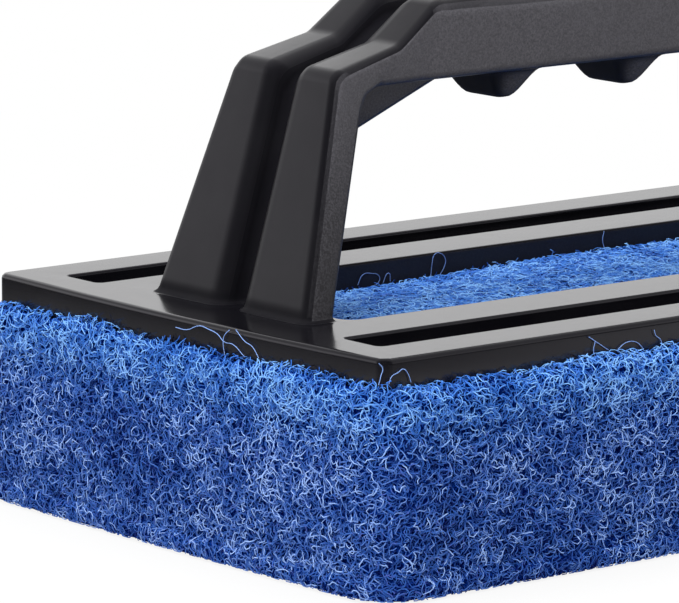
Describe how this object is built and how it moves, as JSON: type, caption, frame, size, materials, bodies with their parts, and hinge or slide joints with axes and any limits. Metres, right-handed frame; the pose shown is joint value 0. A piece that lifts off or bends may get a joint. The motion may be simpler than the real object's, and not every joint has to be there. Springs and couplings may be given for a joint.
{
  "type": "pool wall scrubber",
  "caption": "Hand-held pool wall scrubber: bow handle moulded in one with an open base frame, hook tape under its rails and a thick pull-off fibre scouring pad.",
  "frame": {"origin": "middle of the pad's scrubbing face, which is the underside of the tool", "axes": "+X along the grip and the pad's long side, +Y across the pad, +Z from the scrubbing face up to the grip"},
  "size_m": [0.169, 0.097, 0.0766],
  "materials": {
    "black_plastic": "satin",
    "hook_nylon": "satin",
    "adhesive": "satin",
    "blue_fibre": "matte"
  },
  "bodies": {
    "frame": {"handle_frame": "black_plastic", "hook_tape_near": "hook_nylon", "hook_tape_far": "hook_nylon", "adhesive_near": "adhesive", "adhesive_far": "adhesive"},
    "pad": {"scrub_pad": "blue_fibre"}
  },
  "joints": [
    {"name": "frame_lift_off", "type": "slide", "parent": "pad", "child": "frame", "axis": [0, 0, 1], "range_m": [0, 0.06]}
  ]
}
